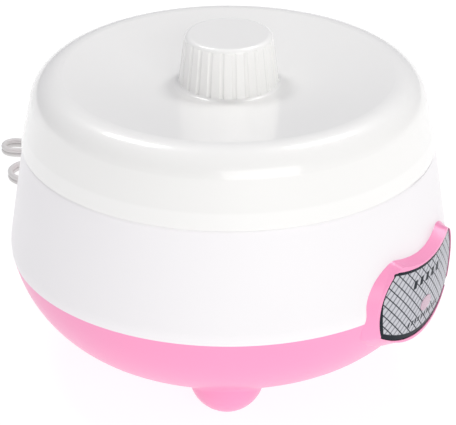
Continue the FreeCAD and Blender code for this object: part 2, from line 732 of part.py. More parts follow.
def inner_bowl():
    """Steel vessel with a rounded foot and a flat flange with a rolled edge."""
    draft = WELL_DRAFT - VESSEL_DRAFT
    side_turn = 90.0 - draft
    bends = (VESSEL_CORNER_R + FLANGE_BEND_R) * (1 - math.sin(math.radians(draft)))
    up = VESSEL_RIM_Z - VESSEL_FLOOR_Z - bends
    steps = [
        ("line", VESSEL_R),
        ("turn", VESSEL_CORNER_R, side_turn),
        ("line", up / math.cos(math.radians(draft))),
        ("turn", FLANGE_BEND_R, -side_turn),
        ("line", 3.6),
        ("turn", 0.9, -110.0),
    ]
    return sheet_turned((0, VESSEL_FLOOR_Z), 0, steps, VESSEL_WALL)


def inner_lid():
    """Press-on lid of the vessel: rim over the flange, skirt inside it, grip on top."""
    start = (LID_R, LID_RIM_Z - 2.0)
    steps = [
        ("line", 0.2),
        ("turn", 1.8, 90.0),
        ("line", 7.2),
        ("turn", 1.8, 86.0),
        ("line", 2.6),
        ("turn", 1.0, -86.0),
        ("line", 66.0),
    ]
    edges = walk(start, 90, steps)
    inner = walk(start, 90, steps, LID_WALL)
    end_out, end_in = edges[-1].Vertexes[-1].Point, inner[-1].Vertexes[-1].Point
    a0, b0 = Vector(0, 0, end_out.z), Vector(0, 0, end_in.z)
    a, c = ends(edges)[0], ends(inner)[0]
    middle = [line(end_out, a0), line(a0, b0), line(b0, end_in)]
    lid = turned(edges + middle + inner[::-1] + [line(c, a)])
    grip = Part.makeBox(34, 4, 7.5, Vector(-17, -2, end_out.z - 0.5))
    grip = grip.makeFillet(1.6, [e for e in grip.Edges if e.BoundBox.ZMin > end_out.z + 0.5])
    return lid.fuse(grip).removeSplitter()


def inner_lid_seal():
    """Silicone ring under the lid's rim, over the vessel's flange."""
    return ring(81.5, 78.5, LID_RIM_Z - LID_WALL - SEAL_THICK, SEAL_THICK)


def outer_cover():
    """Clear frosted cover, one moulding with its hollow fluted knob."""
    heading = COVER_HEADING
    place = outline_end((COVER_R, SEAM_Z + COVER_GAP), heading, [("line", COVER_SIDE), ("turn", *SHOULDER)])
    edge, flat_heading = place
    dish = (edge.x - DISH_R) / abs(math.cos(math.radians(flat_heading)))
    level_turn = 180.0 - flat_heading
    steps = [
        ("line", COVER_SIDE),
        ("turn", *SHOULDER),
        ("line", dish),
        ("turn", 30.0, level_turn),
    ]
    foot_at, _ = outline_end((COVER_R, SEAM_Z + COVER_GAP), heading, steps)
    lean = math.degrees(math.atan2(KNOB_BASE_R - KNOB_TOP_R, KNOB_TOP_Z - foot_at.z))
    rise_turn = 90.0 - lean
    r1, r2 = 2.0, 2.4
    sin_l, cos_l = math.sin(math.radians(lean)), math.cos(math.radians(lean))
    land = foot_at.x - KNOB_BASE_R - r1 * cos_l
    wall_rise = (KNOB_TOP_Z - foot_at.z - r1 * (1 - sin_l) - r2 * (1 - sin_l)) / cos_l
    steps += [
        ("line", land),
        ("turn", r1, -rise_turn),
        ("line", wall_rise),
        ("turn", r2, rise_turn),
    ]
    top_at, _ = outline_end((COVER_R, SEAM_Z + COVER_GAP), heading, steps)
    steps.append(("line", top_at.x))
    cover = sheet_turned((COVER_R, SEAM_Z + COVER_GAP), heading, steps, COVER_WALL)
    radius_low = KNOB_BASE_R + 0.4 + FLUTE_R - FLUTE_DEPTH
    for i in range(KNOB_FLUTES):
        angle = 360.0 / KNOB_FLUTES * (i + 0.5)
        start = polar(radius_low, angle, foot_at.z + 1.0)
        axis = (polar(radius_low - (KNOB_BASE_R - KNOB_TOP_R), angle, KNOB_TOP_Z) - polar(radius_low, angle, foot_at.z))
        length = axis.Length - 3.2
        flute = Part.makeCylinder(FLUTE_R, length, start, axis)
        tip = start + axis.normalize() * length
        cover = cover.cut(flute.fuse(Part.makeSphere(FLUTE_R, tip)))
    return cover


# ---------------------------------------------------------------- cord


def hank_point(along, across, z=0.0):
    """A point given from the hank's tie, along its line and across it."""
    a = math.radians(HANK_LEAN)
    x = HANK_MIDDLE[0] + along * math.cos(a) - across * math.sin(a)
    y = HANK_MIDDLE[1] + along * math.sin(a) + across * math.cos(a)
    return Vector(x, y, z)


def hank_loop(along, across, radius):
    """Flat teardrop from the tie to one loop's round end."""
    disc = Part.makeCylinder(radius, HANK_HEIGHT, hank_point(along, across))
    reach = math.hypot(along, across)
    ux, uy = along / reach, across / reach
    corners = [(-uy * radius, ux * radius), (uy * radius, -ux * radius)]
    pts = [hank_point(along + corners[0][0], across + corners[0][1]),
           hank_point(along + corners[1][0], across + corners[1][1]),
           hank_point(-uy * -6.0, -ux * 6.0), hank_point(uy * -6.0, ux * 6.0)]
    flap = Part.Face(Part.makePolygon(pts + [pts[0]])).extrude(Vector(0, 0, HANK_HEIGHT))
    return disc.fuse(flap)


def cord_hank():
    half = TIE_HALF_WIDTH - 0.8
    corners = [(-9, -half), (9, -half), (9, half), (-9, half), (-9, -half)]
    waist = Part.Face(Part.makePolygon([hank_point(a, b) for a, b in corners]))
    hank = waist.extrude(Vector(0, 0, HANK_HEIGHT))
    for along, across, radius in LOOP_SIZES:
        hank = hank.fuse(hank_loop(along, across, radius))
    tail = [hank_point(0, 2), hank_point(0, 8), hank_point(PLUG_START[0], PLUG_START[1] + 3.2),
            hank_point(PLUG_START[0], PLUG_START[1] - 3.2)]
    run = Part.Face(Part.makePolygon(tail + [tail[0]])).extrude(Vector(0, 0, HANK_HEIGHT))
    hank = hank.fuse(run)
    last, before = Vector(*CORD_ROUTE[-1]), Vector(*CORD_ROUTE[-2])
    heading = (last - before).normalize()
    side = Vector(-heading.y, heading.x, 0) * (CORD_D / 2 + 0.3)
    mouth = Vector(last.x, last.y, 0)
    patch = [mouth + side, mouth - side, hank_point(-1, -half), hank_point(-9, -half + 2)]
    hank = hank.fuse(Part.Face(Part.makePolygon(patch + [patch[0]])).extrude(Vector(0, 0, HANK_HEIGHT)))
    return hank.cut(tie_solid()).cut(plug_body()).removeSplitter()


def tie_solid():
    """Paper-covered wire tie wrapped round the runs."""
    h, w = TIE_HALF_LENGTH, TIE_HALF_WIDTH
    corners = [hank_point(-h, -w), hank_point(h, -w), hank_point(h, w), hank_point(-h, w)]
    outer = Part.Face(Part.makePolygon(corners + [corners[0]])).extrude(Vector(0, 0, HANK_HEIGHT + 0.8))
    w -= 0.8
    corners = [hank_point(-h, -w), hank_point(h, -w), hank_point(h, w), hank_point(-h, w)]
    core = Part.Face(Part.makePolygon(corners + [corners[0]])).extrude(Vector(0, 0, HANK_HEIGHT))
    return outer.cut(core)


def plug_frame():
    start, end = hank_point(*PLUG_START), hank_point(*PLUG_END)
    along = (end - start).normalize()
    return start, along, Vector(-along.y, along.x, 0)


def plug_body():
    """Moulded two-pin plug, lying flat: tapered tail, waist and a broad face."""
    start, along, side = plug_frame()
    length = math.hypot(PLUG_END[0] - PLUG_START[0], PLUG_END[1] - PLUG_START[1])
    outline = [(0, 3.4), (8, 4.2), (14, 8.5), (20, 10.5), (length, 13.2)]
    left = [start + along * a + side * w for a, w in outline]
    right = [start + along * a - side * w for a, w in outline[::-1]]
    body = Part.Face(Part.makePolygon(left + right + [left[0]])).extrude(Vector(0, 0, 13.0))
    upright = [e for e in body.Edges if abs(e.tangentAt(e.FirstParameter).z) > 0.99
               and (e.BoundBox.Center - start).Length > 16]
    return body.makeFillet(2.4, upright)


def plug_pins():
    start, along, side = plug_frame()
    length = math.hypot(PLUG_END[0] - PLUG_START[0], PLUG_END[1] - PLUG_START[1])
    pins = []
    for half in (-0.5, 0.5):
        root = start + along * length + side * (half * PLUG_PIN_GAP) + Vector(0, 0, 6.5)
        shaft = Part.makeCylinder(PLUG_PIN_R, PLUG_PIN_LENGTH - PLUG_PIN_R, root, along)
        tip = Part.makeSphere(PLUG_PIN_R, root + along * (PLUG_PIN_LENGTH - PLUG_PIN_R))
        pins.append(shaft.fuse(tip).removeSplitter())
    return pins


PIECES = {
    "base_shell": base_shell,
    "body_shell": body_shell,
    "label_plate": label_plate,
    "indicator_lens": indicator_lens,
    "indicator_lamp": indicator_lamp,
    "lamp_holder": lamp_holder,
    "lamp_resistor": lamp_resistor,
    "lamp_wires": lamp_wires,
    "heating_plate": heating_plate,
    "plate_seal": plate_seal,
    "plate_screws": plate_screws,
    "ptc_heater": ptc_heater,
    "heater_insulator": heater_insulator,
    "heater_clamp": heater_clamp,
    "clamp_screws": clamp_screws,
    "thermal_fuse": thermal_fuse,
    "fuse_saddle": fuse_saddle,
    "live_wires": live_wires,
    "neutral_wire": neutral_wire,
    "wire_caps": wire_caps,
    "cord_tail": cord_tail,
    "cord_clamp": cord_clamp,
    "cord_clamp_screws": cord_clamp_screws,
    "strain_relief": strain_relief,
    "base_screws": base_screws,
    "inner_bowl": inner_bowl,
    "inner_lid": inner_lid,
    "inner_lid_seal": inner_lid_seal,
    "outer_cover": outer_cover,
    "cord_lead": lambda: tube(CORD_ROUTE, CORD_D, True),
    "cord_hank": cord_hank,
    "cord_tie": tie_solid,
    "plug_body": plug_body,
    "plug_pins": plug_pins,
}

for piece_name, make in PIECES.items():
    made = make()
    save(piece_name, Part.Compound(made) if isinstance(made, list) else made)
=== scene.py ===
"""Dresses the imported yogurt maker: finishes for every moulding, the mains cord, studio and camera."""

import logging
import math
from dataclasses import dataclass, field
from enum import Enum
from typing import Sequence

import bmesh
import bpy
from mathutils import Euler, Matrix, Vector


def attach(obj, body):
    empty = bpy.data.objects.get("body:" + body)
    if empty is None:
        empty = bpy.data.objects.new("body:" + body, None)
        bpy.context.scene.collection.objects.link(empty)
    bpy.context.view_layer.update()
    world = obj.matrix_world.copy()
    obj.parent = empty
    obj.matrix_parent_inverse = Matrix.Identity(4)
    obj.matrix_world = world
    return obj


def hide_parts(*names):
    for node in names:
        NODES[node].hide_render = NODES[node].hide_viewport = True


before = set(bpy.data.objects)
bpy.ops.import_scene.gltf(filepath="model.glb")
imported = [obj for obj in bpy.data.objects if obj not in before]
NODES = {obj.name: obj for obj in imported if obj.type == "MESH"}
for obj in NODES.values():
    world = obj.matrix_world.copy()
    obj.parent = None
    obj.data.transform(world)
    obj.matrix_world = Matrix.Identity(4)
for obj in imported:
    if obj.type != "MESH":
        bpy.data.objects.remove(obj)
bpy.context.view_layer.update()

logging.basicConfig(level=logging.INFO, format="%(name)s: %(message)s")
LOG = logging.getLogger("yogurt_maker")

Colour = tuple[float, float, float]
Point = tuple[float, float, float]
Socket = bpy.types.NodeSocket

MM_PER_METRE = 1000.0


def aimed(place: Point, aim: Point) -> Euler:
    """The rotation that turns a light or a camera at place towards aim."""
    return (Vector(aim) - Vector(place)).to_track_quat("-Z", "Y").to_euler()


# ------------------------------------------------------------------ node bench


@dataclass
class NodeBench:
    """One material's node tree, with short calls for the nodes that the finishes use."""

    tree: bpy.types.NodeTree

    def add(self, kind: str, **settings: object) -> bpy.types.Node:
        """Adds a node.

        Args:
            kind: the node's type name.
            settings: attributes set on the node.

        Returns:
            The new node.
        """
        node = self.tree.nodes.new(kind)
        for key, value in settings.items():
            setattr(node, key, value)
        return node

    def plug(self, value: object, target: Socket) -> None:
        """Links a socket to the target, or sets the target's own value.

        Args:
            value: a socket, or a value that the target takes.
            target: the input socket.
        """
        if isinstance(value, Socket):
            self.tree.links.new(value, target)
        else:
            target.default_value = value

    def sum(self, operation: str, first: object, second: object = 0.0, third: object = 0.0) -> Socket:
        """Adds a Math node.

        Args:
            operation: the node's operation, such as MULTIPLY.
            first: a socket or a number.
            second: a socket or a number.
            third: a socket or a number, for operations that take three.

        Returns:
            The node's value socket.
        """
        node = self.add("ShaderNodeMath", operation=operation)
        self.plug(first, node.inputs[0])
        self.plug(second, node.inputs[1])
        self.plug(third, node.inputs[2])
        return node.outputs[0]

    def band(self, value: object, low: float, high: float, soft: float) -> Socket:
        """A value that is 1 between low and high, with soft edges.

        Args:
            value: a socket or a number.
            low: where the band starts.
            high: where the band ends.
            soft: the width of each edge.

        Returns:
            The band's socket, 0 to 1.
        """
        up = self.step(value, low, soft)
        down = self.step(value, high, soft)
        return self.sum("SUBTRACT", up, down)

    def step(self, value: object, edge: object, soft: float) -> Socket:
        """A value that goes from 0 to 1 across an edge.

        Args:
            value: a socket or a number.
            edge: where it crosses one half.
            soft: the width that it takes to cross.

        Returns:
            The step's socket, 0 to 1.
        """
        scaled = self.sum("DIVIDE", self.sum("SUBTRACT", value, edge), soft)
        node = self.add("ShaderNodeMath", operation="ADD", use_clamp=True)
        self.plug(scaled, node.inputs[0])
        node.inputs[1].default_value = 0.5
        return node.outputs[0]

    def stripes(self, value: object, pitch: float, phase: float, width: float, soft: float) -> Socket:
        """Even stripes along a value.

        Args:
            value: the distance across the stripes.
            pitch: from one stripe to the next.
            phase: where the first stripe's middle is.
            width: how wide a stripe is.
            soft: the width of its edges.

        Returns:
            The stripes' socket, 1 on a stripe.
        """
        moved = self.sum("SUBTRACT", value, phase)
        wave = self.sum("PINGPONG", moved, pitch / 2)
        return self.sum("SUBTRACT", 1.0, self.step(wave, width / 2, soft))

    def place(self, kind: str = "Object") -> Socket:
        """The coordinate socket of that kind."""
        return self.add("ShaderNodeTexCoord").outputs[kind]

    def stretched(self, vector: Socket, scale: Point) -> Socket:
        """A vector multiplied on each axis.

        Args:
            vector: the vector's socket.
            scale: what each axis is multiplied by.

        Returns:
            The stretched vector's socket.
        """
        node = self.add("ShaderNodeVectorMath", operation="MULTIPLY")
        self.plug(vector, node.inputs[0])
        node.inputs[1].default_value = scale
        return node.outputs[0]

    def noise(self, vector: Socket, scale: float, detail: float = 3.0, rough: float = 0.5) -> Socket:
        """Noise over a vector.

        Args:
            vector: the coordinates.
            scale: how fine the noise is.
            detail: how many octaves it has.
            rough: how strong the finer octaves are.

        Returns:
            The noise's factor socket.
        """
        node = self.add("ShaderNodeTexNoise")
        self.plug(vector, node.inputs["Vector"])
        node.inputs["Scale"].default_value = scale
        node.inputs["Detail"].default_value = detail
        node.inputs["Roughness"].default_value = rough
        return node.outputs["Fac"]

    def between(self, factor: Socket, low: float, high: float) -> Socket:
        """A factor's 0 to 1 stretched to another range.

        Args:
            factor: the factor's socket.
            low: the result at 0.
            high: the result at 1.

        Returns:
            The result's socket.
        """
        node = self.add("ShaderNodeMapRange")
        self.plug(factor, node.inputs["Value"])
        node.inputs["To Min"].default_value = low
        node.inputs["To Max"].default_value = high
        return node.outputs["Result"]

    def mixed(self, factor: object, first: object, second: object) -> Socket:
        """A colour mixed from two.

        Args:
            factor: 0 for the first, 1 for the second.
            first: a colour or a socket.
            second: a colour or a socket.

        Returns:
            The mixed colour's socket.
        """
        node = self.add("ShaderNodeMix", data_type="RGBA")
        self.plug(factor, node.inputs[0])
        for value, target in ((first, node.inputs[6]), (second, node.inputs[7])):
            self.plug(value if isinstance(value, Socket) else (*value, 1.0), target)
        return node.outputs[2]

    def bump(self, height: Socket, distance: float) -> Socket:
        """A normal bumped by a height.

        Args:
            height: the height's socket, 0 to 1.
            distance: how deep a height of 1 is, in metres.

        Returns:
            The normal's socket.
        """
        node = self.add("ShaderNodeBump")
        self.plug(height, node.inputs["Height"])
        node.inputs["Distance"].default_value = distance
        node.inputs["Strength"].default_value = 1.0
        return node.outputs["Normal"]


def start_material(name: str) -> tuple[bpy.types.Material, NodeBench, bpy.types.Node]:
    """Makes an empty node material.

    Args:
        name: the material's name.

    Returns:
        The material, its bench and its principled shader.
    """
    material = bpy.data.materials.new(name)
    material.use_nodes = True
    material.node_tree.nodes.clear()
    bench = NodeBench(material.node_tree)
    shader = bench.add("ShaderNodeBsdfPrincipled")
    output = bench.add("ShaderNodeOutputMaterial")
    bench.plug(shader.outputs["BSDF"], output.inputs["Surface"])
    return material, bench, shader


# ------------------------------------------------------------------ finishes


@dataclass(frozen=True)
class Moulding:
    """Injection-moulded plastic: broad tint, fine satin, a faint ripple of the mould and, where set, a
    painted shade above a given height.

    Depths and heights are in metres. A scale says how fine a noise is.
    """

    name: str
    colour: Colour
    tint: Colour
    rough: float = 0.24
    coat: float = 0.25
    coat_rough: float = 0.12
    ripple: float = 0.00012
    shine: float = 0.5
    glow: float = 0.0
    glow_depth: float = 0.008
    clear: float = 0.0
    clear_blend: float = 0.35
    # Painted shade: above the first height the colour is multiplied by the share given below, crossing
    # over a soft step.
    painted_shade_above: float = 0.0
    painted_shade_soft: float = 0.0012
    painted_shade_share: float = 0.955
    tint_scale: float = 14.0
    ripple_scale: float = 35.0
    rough_scale: float = 60.0
    fine_scale: float = 900.0
    fine_share: float = 0.02
    smoother: float = 0.04
    rougher: float = 0.05

    def skin(self, bench: NodeBench, where: Socket) -> Socket:
        """The moulding's colour, with a painted shade: a step darker above a set height, standing in for
        the lighter lower band where the wall behind shows through.

        Args:
            bench: the material's bench.
            where: the place in the moulding.

        Returns:
            The colour's socket.
        """
        plain = bench.mixed(bench.noise(where, self.tint_scale, 2.0), self.colour, self.tint)
        if not self.painted_shade_above:
            return plain
        # Painted shade: the colour above this height is darkened, standing in for the lighter band below
        # it where the wall behind shows through.
        parts = bench.add("ShaderNodeSeparateXYZ")
        bench.plug(where, parts.inputs[0])
        above = bench.step(parts.outputs[2], self.painted_shade_above, self.painted_shade_soft)
        painted_shade_colour = [channel * self.painted_shade_share for channel in self.colour]
        return bench.mixed(above, plain, painted_shade_colour)

    def material(self) -> bpy.types.Material:
        """Builds the finish.

        Returns:
            The finish's material.
        """
        made, bench, shader = start_material(self.name)
        where = bench.place()
        bench.plug(self.skin(bench, where), shader.inputs["Base Color"])
        worn = bench.noise(where, self.rough_scale, 4.0)
        worn = bench.between(worn, self.rough - self.smoother, self.rough + self.rougher)
        bench.plug(worn, shader.inputs["Roughness"])
        fine = bench.sum("MULTIPLY", bench.noise(where, self.fine_scale, 3.0, 0.6), self.fine_share)
        height = bench.sum("ADD", bench.noise(where, self.ripple_scale, 1.0), fine)
        bench.plug(bench.bump(height, self.ripple), shader.inputs["Normal"])
        shader.inputs["Coat Weight"].default_value = self.coat
        shader.inputs["Coat Roughness"].default_value = self.coat_rough
        shader.inputs["IOR"].default_value = 1.5
        shader.inputs["Specular IOR Level"].default_value = self.shine
        if self.glow:
            shader.inputs["Subsurface Weight"].default_value = self.glow
            shader.inputs["Subsurface Radius"].default_value = (1.0, 1.0, 1.0)
            shader.inputs["Subsurface Scale"].default_value = self.glow_depth
        if self.clear:
            facing = bench.add("ShaderNodeLayerWeight")
            facing.inputs["Blend"].default_value = self.clear_blend
            veil = bench.between(facing.outputs["Facing"], 1.0 - self.clear, 1.0)
            bench.plug(veil, shader.inputs["Alpha"])
        return made


class Lay(Enum):
    """The way a metal's working marks run."""

    RINGS = "rings"
    SIDES = "sides"
    TUMBLED = "tumbled"


@dataclass(frozen=True)
class WorkedMetal:
    """Metal with spun, brushed or tumbled marks."""

    name: str
    colour: Colour
    dark: Colour
    rough: float
    lay: Lay
    marks: float = 0.00002
    tumbled_scale: float = 700.0
    line_scale: float = 3200.0
    around_scale: float = 2.0
    smoother: float = 0.06
    rougher: float = 0.1

    def marks_over(self, bench: NodeBench) -> Socket:
        """The noise that follows the lay of the marks.

        Args:
            bench: the material's bench.

        Returns:
            The noise's socket.
        """
        where = bench.place()
        if self.lay is Lay.TUMBLED:
            return bench.noise(where, self.tumbled_scale, 4.0, 0.6)
        parts = bench.add("ShaderNodeSeparateXYZ")
        bench.plug(where, parts.inputs[0])
        out_x = bench.sum("MULTIPLY", parts.outputs[0], parts.outputs[0])
        out_y = bench.sum("MULTIPLY", parts.outputs[1], parts.outputs[1])
        radius = bench.sum("SQRT", bench.sum("ADD", out_x, out_y))
        around = bench.sum("ARCTAN2", parts.outputs[1], parts.outputs[0])
        joined = bench.add("ShaderNodeCombineXYZ")
        across = radius if self.lay is Lay.RINGS else parts.outputs[2]
        bench.plug(bench.sum("MULTIPLY", across, self.line_scale), joined.inputs[0])
        for axis, wave in ((1, "COSINE"), (2, "SINE")):
            turned = bench.sum("MULTIPLY", bench.sum(wave, around), self.around_scale)
            bench.plug(turned, joined.inputs[axis])
        return bench.noise(joined.outputs[0], 1.0, 4.0, 0.6)

    def material(self) -> bpy.types.Material:
        """Builds the finish.

        Returns:
            The finish's material.
        """
        made, bench, shader = start_material(self.name)
        marks = self.marks_over(bench)
        bench.plug(bench.mixed(marks, self.dark, self.colour), shader.inputs["Base Color"])
        worn = bench.between(marks, self.rough - self.smoother, self.rough + self.rougher)
        bench.plug(worn, shader.inputs["Roughness"])
        bench.plug(bench.bump(marks, self.marks), shader.inputs["Normal"])
        shader.inputs["Metallic"].default_value = 1.0
        return made


@dataclass(frozen=True)
class SoftSkin:
    """Rubber, silicone, PVC or coated wire: dull, with a fine dimpled skin and handling marks."""

    name: str
    colour: Colour
    worn: Colour
    rough: float = 0.5
    dimple: float = 0.00005
    dimple_scale: float = 1600.0
    sheen: float = 0.1
    patch_scale: float = 45.0
    spread: float = 0.08

    def material(self) -> bpy.types.Material:
        """Builds the finish.

        Returns:
            The finish's material.
        """
        made, bench, shader = start_material(self.name)
        where = bench.place()
        patches = bench.noise(where, self.patch_scale, 4.0)
        bench.plug(bench.mixed(patches, self.colour, self.worn), shader.inputs["Base Color"])
        worn = bench.between(patches, self.rough - self.spread, self.rough + self.spread)
        bench.plug(worn, shader.inputs["Roughness"])
        dimples = bench.noise(where, self.dimple_scale, 2.0)
        bench.plug(bench.bump(dimples, self.dimple), shader.inputs["Normal"])
        shader.inputs["Sheen Weight"].default_value = self.sheen
        return made


@dataclass(frozen=True)
class FleckedSheet:
    """Mica, ceramic or paper: layered flecks in a dull sheet."""

    name: str
    colour: Colour
    fleck: Colour
    rough: float = 0.55
    scale: float = 500.0
    relief: float = 0.00004
    spread: float = 0.1

    def material(self) -> bpy.types.Material:
        """Builds the finish.

        Returns:
            The finish's material.
        """
        made, bench, shader = start_material(self.name)
        cells = bench.add("ShaderNodeTexVoronoi")
        bench.plug(bench.place(), cells.inputs["Vector"])
        cells.inputs["Scale"].default_value = self.scale
        fleck = bench.between(cells.outputs["Distance"], 0.0, 1.0)
        bench.plug(bench.mixed(fleck, self.colour, self.fleck), shader.inputs["Base Color"])
        worn = bench.between(fleck, self.rough - self.spread, self.rough + self.spread)
        bench.plug(worn, shader.inputs["Roughness"])
        bench.plug(bench.bump(fleck, self.relief), shader.inputs["Normal"])
        return made


@dataclass(frozen=True)
class BarRow:
    """One row of plain slanting bars, in millimetres in the label's own plane.

    A row runs from start to end across, and its bars stand from low to high.
    """

    pitch: float
    phase: float
    width: float
    low: float
    high: float
    start: float
    end: float
    soft: float


@dataclass(frozen=True)
class LabelPrint:
    """Silver film printed with two families of slanting lines, a dark border and plain bars.

    Lengths are in millimetres in the label's own plane, x across and z up, apart from ink_depth,
    which is in metres. The outline's top and bottom edges are lowest in the middle, and its sides
    bow out.
    """

    name: str = "label_film"
    silver: Colour = (0.58, 0.585, 0.625)
    silver_dark: Colour = (0.53, 0.54, 0.58)
    ink: Colour = (0.012, 0.018, 0.026)
    fine_ink: Colour = (0.10, 0.10, 0.13)
    fine_strength: float = 0.7
    film_scale: float = 120.0
    bold_way: tuple[float, float] = (0.734, 0.679)
    bold_pitch: float = 3.5
    bold_phase: float = 3.9
    bold_width: float = 0.5
    fine_way: tuple[float, float] = (0.65, -0.76)
    fine_pitch: float = 3.0
    fine_width: float = 0.75
    bold_soft: float = 0.2
    fine_soft: float = 0.25
    border: float = 1.6
    border_soft: float = 0.25
    top_middle: float = 70.2
    top_half: float = 25.0
    top_dip: float = 4.1
    low_middle: float = 34.7
    low_half: float = 31.8
    low_drop: float = 9.5
    low_border_share: float = 0.62
    side_half: float = 34.0
    side_middle: float = 59.25
    side_reach: float = 15.05
    side_in_above: float = 9.0
    side_in_below: float = 2.2
    bar_lean: float = 0.25
    bare_rough: float = 0.34
    ink_rough: float = 0.22
    ink_depth: float = 0.00003
    shine: float = 0.06
    rows: tuple[BarRow, BarRow] = (
        BarRow(pitch=5.2, phase=-0.4, width=2.6, low=60.4, high=64.4, start=-29.0, end=-3.0, soft=0.25),
        BarRow(pitch=2.7, phase=0.3, width=1.4, low=41.6, high=44.0, start=-25.4, end=4.5, soft=0.2),
    )

    def across(self, bench: NodeBench, x: Socket, z: Socket, way: tuple[float, float]) -> Socket:
        """Distance across a family of straight lines.

        Args:
            bench: the material's bench.
            x: the sideways place.
            z: the height.
            way: how much of x and of z the distance takes.

        Returns:
            The distance's socket.
        """
        return bench.sum("MULTIPLY_ADD", x, way[0], bench.sum("MULTIPLY", z, way[1]))

    def side_inset(self, bench: NodeBench, up: Socket, inset: float) -> Socket:
        """How far a side has come in from its widest, growing with the square of the height.

        Args:
            bench: the material's bench.
            up: the height from the side's middle, towards the end that it is wanted for.
            inset: how far the side is in at that end.

        Returns:
            The inset's socket, 0 on the other side of the middle.
        """
        share = bench.sum("MULTIPLY", bench.sum("MAXIMUM", up, 0.0), 1.0 / self.side_reach)
        return bench.sum("MULTIPLY", bench.sum("MULTIPLY", share, share), inset)

    def inside(self, bench: NodeBench, x: Socket, z: Socket) -> Socket:
        """How far a point lies inside the label's outline: the least over its four sides.

        Args:
            bench: the material's bench.
            x: the sideways place.
            z: the height.

        Returns:
            The distance's socket.
        """
        square_x = bench.sum("MULTIPLY", x, x)
        top_edge = bench.sum("MULTIPLY_ADD", square_x, self.top_dip / self.top_half**2, self.top_middle)
        low_edge = bench.sum("MULTIPLY_ADD", square_x, self.low_drop / self.low_half**2, self.low_middle)
        up = bench.sum("SUBTRACT", z, self.side_middle)
        down = bench.sum("MULTIPLY", up, -1.0)
        half = bench.sum("SUBTRACT", self.side_half, self.side_inset(bench, up, self.side_in_above))
        half = bench.sum("SUBTRACT", half, self.side_inset(bench, down, self.side_in_below))
        side = bench.sum("SUBTRACT", half, bench.sum("ABSOLUTE", x))
        top = bench.sum("SUBTRACT", top_edge, z)
        low = bench.sum("MULTIPLY", bench.sum("SUBTRACT", z, low_edge), self.low_border_share)
        return bench.sum("MINIMUM", bench.sum("MINIMUM", top, low), side)

    def bars(self, bench: NodeBench, x: Socket, z: Socket, row: BarRow) -> Socket:
        """One row of plain slanting bars, where a maker would print words.

        Args:
            bench: the material's bench.
            x: the sideways place.
            z: the height.
            row: the row's sizes.

        Returns:
            The row's socket, 1 on a bar.
        """
        lean = bench.sum("MULTIPLY_ADD", z, -self.bar_lean, x)
        shown = bench.stripes(lean, row.pitch, row.phase, row.width, row.soft)
        shown = bench.sum("MULTIPLY", shown, bench.band(z, row.low, row.high, row.soft))
        return bench.sum("MULTIPLY", shown, bench.band(lean, row.start, row.end, row.soft))

    def material(self) -> bpy.types.Material:
        """Builds the finish.

        Returns:
            The finish's material.
        """
        made, bench, shader = start_material(self.name)
        parts = bench.add("ShaderNodeSeparateXYZ")
        where = bench.place()
        bench.plug(bench.stretched(where, (MM_PER_METRE,) * 3), parts.inputs[0])
        x, z = parts.outputs[0], parts.outputs[2]
        film = bench.mixed(bench.noise(where, self.film_scale, 3.0), self.silver, self.silver_dark)
        slant = self.across(bench, x, z, self.fine_way)
        fine = bench.stripes(slant, self.fine_pitch, 0.0, self.fine_width, self.fine_soft)
        film = bench.mixed(bench.sum("MULTIPLY", fine, self.fine_strength), film, self.fine_ink)
        slant = self.across(bench, x, z, self.bold_way)
        ink = bench.stripes(slant, self.bold_pitch, self.bold_phase, self.bold_width, self.bold_soft)
        for row in self.rows:
            ink = bench.sum("MAXIMUM", ink, self.bars(bench, x, z, row))
        frame_in = bench.step(self.inside(bench, x, z), self.border, self.border_soft)
        ink = bench.sum("MAXIMUM", ink, bench.sum("SUBTRACT", 1.0, frame_in))
        bench.plug(bench.mixed(ink, film, self.ink), shader.inputs["Base Color"])
        bench.plug(bench.between(ink, self.bare_rough, self.ink_rough), shader.inputs["Roughness"])
        bench.plug(bench.bump(ink, self.ink_depth), shader.inputs["Normal"])
        shader.inputs["Specular IOR Level"].default_value = self.shine
        return made


Finish = Moulding | WorkedMetal | SoftSkin | FleckedSheet | LabelPrint

WHITE = Moulding("white_moulding", (0.90, 0.885, 0.895), (0.88, 0.865, 0.88), rough=0.32, coat=0.1,
                 shine=0.3)
PINK = Moulding("pink_moulding", (0.96, 0.345, 0.575), (0.945, 0.325, 0.555), rough=0.32, coat=0.1,
                shine=0.35)
# The frosted cover carries a painted shade: its colour is darker above 112.6 mm, where the body behind
# no longer lightens it.
FROST = Moulding("frosted_moulding", (0.97, 0.965, 0.945), (0.95, 0.945, 0.93), rough=0.34, coat=0.8,
                 coat_rough=0.03, ripple=0.00004, glow=0.08, clear=0.03, painted_shade_above=0.1126)
INNER_FROST = Moulding("inner_lid_moulding", (0.86, 0.86, 0.86), (0.84, 0.84, 0.85), rough=0.35,
                       clear=0.25)
WINDOW = Moulding("window_moulding", (0.64, 0.42, 0.53), (0.58, 0.36, 0.47), rough=0.15, coat=0.6,
                  clear=0.2)
LAMP = Moulding("lamp_glass", (0.92, 0.50, 0.34), (0.85, 0.42, 0.28), rough=0.08, coat=0.8, clear=0.5)
NYLON = Moulding("natural_nylon", (0.78, 0.75, 0.68), (0.72, 0.69, 0.60), rough=0.42, coat=0.0)
LACQUER = Moulding("resistor_lacquer", (0.55, 0.42, 0.24), (0.45, 0.32, 0.18), rough=0.3, coat=0.5)
STEEL = WorkedMetal("spun_steel", (0.74, 0.73, 0.72), (0.60, 0.60, 0.60), 0.26, Lay.SIDES)
PLATE = WorkedMetal("turned_aluminium", (0.83, 0.84, 0.85), (0.70, 0.71, 0.73), 0.34, Lay.RINGS)
ZINC = WorkedMetal("zinc_plate", (0.75, 0.75, 0.76), (0.58, 0.59, 0.62), 0.3, Lay.TUMBLED)
SPRING = WorkedMetal("spring_steel", (0.66, 0.66, 0.66), (0.5, 0.5, 0.5), 0.36, Lay.TUMBLED)
